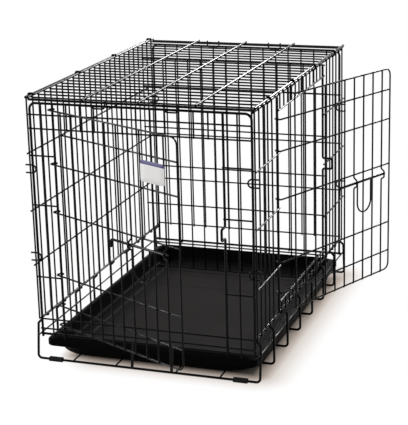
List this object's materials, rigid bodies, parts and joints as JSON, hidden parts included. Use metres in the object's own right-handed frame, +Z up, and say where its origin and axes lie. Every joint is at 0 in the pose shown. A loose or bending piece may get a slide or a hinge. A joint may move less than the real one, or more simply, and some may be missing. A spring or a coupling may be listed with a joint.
{
  "type": "wire dog crate",
  "caption": "Folding wire dog crate with a front door and a side door on slide bolts, a hinged top, a divider panel and a slide-out plastic pan.",
  "frame": {"origin": "on the floor, under the middle of the whole object's box as it stands with both doors ajar", "axes": "+X towards the long side with the door, +Y from the front end to the back end, +Z up"},
  "size_m": [0.7064, 0.9524, 0.6233],
  "materials": {
    "coated_wire": "satin black coat over steel wire",
    "pan_plastic": "matte moulded black plastic",
    "foot_rubber": "matte black rubber",
    "tag_card": "white card with a purple band",
    "stop_plastic": "matte black plastic"
  },
  "bodies": {
    "base": {"tray_end_frames": "coated_wire", "tray_cross_wires": "coated_wire", "tray_floor_wires": "coated_wire", "tray_side_rails": "coated_wire", "tray_end_rails": "coated_wire", "rubber_feet": "foot_rubber", "left_side_uprights": "coated_wire", "left_side_bars": "coated_wire", "left_side_top_rail": "coated_wire", "left_side_hooks": "coated_wire", "right_side_uprights": "coated_wire", "right_side_short_uprights": "coated_wire", "right_side_bars": "coated_wire", "right_side_hinge_jamb": "coated_wire", "right_side_keeper_jamb": "coated_wire", "right_side_top_rail": "coated_wire", "right_side_hooks": "coated_wire", "front_panel_frame": "coated_wire", "front_panel_bars": "coated_wire", "front_panel_bay_bars": "coated_wire", "front_panel_uprights": "coated_wire", "front_panel_hinge_jamb": "coated_wire", "front_panel_keeper_jamb": "coated_wire", "back_panel_frame": "coated_wire", "back_panel_bars": "coated_wire", "back_panel_uprights": "coated_wire"},
    "lid": {"lid_rails": "coated_wire", "lid_cross_wires": "coated_wire", "lid_end_rails": "coated_wire", "lid_clips": "coated_wire", "lid_end_loops": "coated_wire"},
    "front_door": {"front_door_frame": "coated_wire", "front_door_bars": "coated_wire", "front_door_wires": "coated_wire", "hang_tag": "tag_card"},
    "front_bolt": {"front_door_bolt": "coated_wire", "front_door_bolt_grip": "coated_wire"},
    "side_door": {"side_door_frame": "coated_wire", "side_door_bars": "coated_wire", "side_door_wires": "coated_wire"},
    "side_bolt": {"side_door_bolt": "coated_wire", "side_door_bolt_grip": "coated_wire"},
    "pan": {"pan": "pan_plastic"},
    "pan_stop_left": {"pan_stop_left": "stop_plastic"},
    "pan_stop_right": {"pan_stop_right": "stop_plastic"},
    "divider": {"divider_bars": "coated_wire", "divider_wires": "coated_wire"}
  },
  "joints": [
    {"name": "lid_hinge", "type": "hinge", "parent": "base", "child": "lid", "pos_m": [0.18226, 0.08786, 0.6175], "axis": [0, 1, 0], "range_deg": [0, 100]},
    {"name": "front_door_hinge", "type": "hinge", "parent": "base", "child": "front_door", "pos_m": [-0.28225, -0.28744, 0.3], "axis": [0, 0, -1], "range_deg": [-26, 114]},
    {"name": "side_door_hinge", "type": "hinge", "parent": "base", "child": "side_door", "pos_m": [0.17905, -0.11914, 0.3], "axis": [0, 0, -1], "range_deg": [-23.7, 116.3]},
    {"name": "front_bolt_slide", "type": "slide", "parent": "front_door", "child": "front_bolt", "axis": [0.8988, -0.4384, 0], "range_m": [0, 0.03]},
    {"name": "side_bolt_slide", "type": "slide", "parent": "side_door", "child": "side_bolt", "axis": [0.4019, 0.9157, 0], "range_m": [0, 0.03]},
    {"name": "pan_slide", "type": "slide", "parent": "base", "child": "pan", "axis": [0, 1, 0], "range_m": [0, 0.56]},
    {"name": "divider_slide", "type": "slide", "parent": "base", "child": "divider", "axis": [0, -1, 0], "range_m": [0, 0.42]},
    {"name": "pan_stop_left_hinge", "type": "hinge", "parent": "base", "child": "pan_stop_left", "pos_m": [-0.11525, -0.28244, 0.061], "axis": [-1, 0, 0], "range_deg": [0, 95]},
    {"name": "pan_stop_right_hinge", "type": "hinge", "parent": "base", "child": "pan_stop_right", "pos_m": [-0.02024, -0.28244, 0.061], "axis": [-1, 0, 0], "range_deg": [0, 95]}
  ]
}
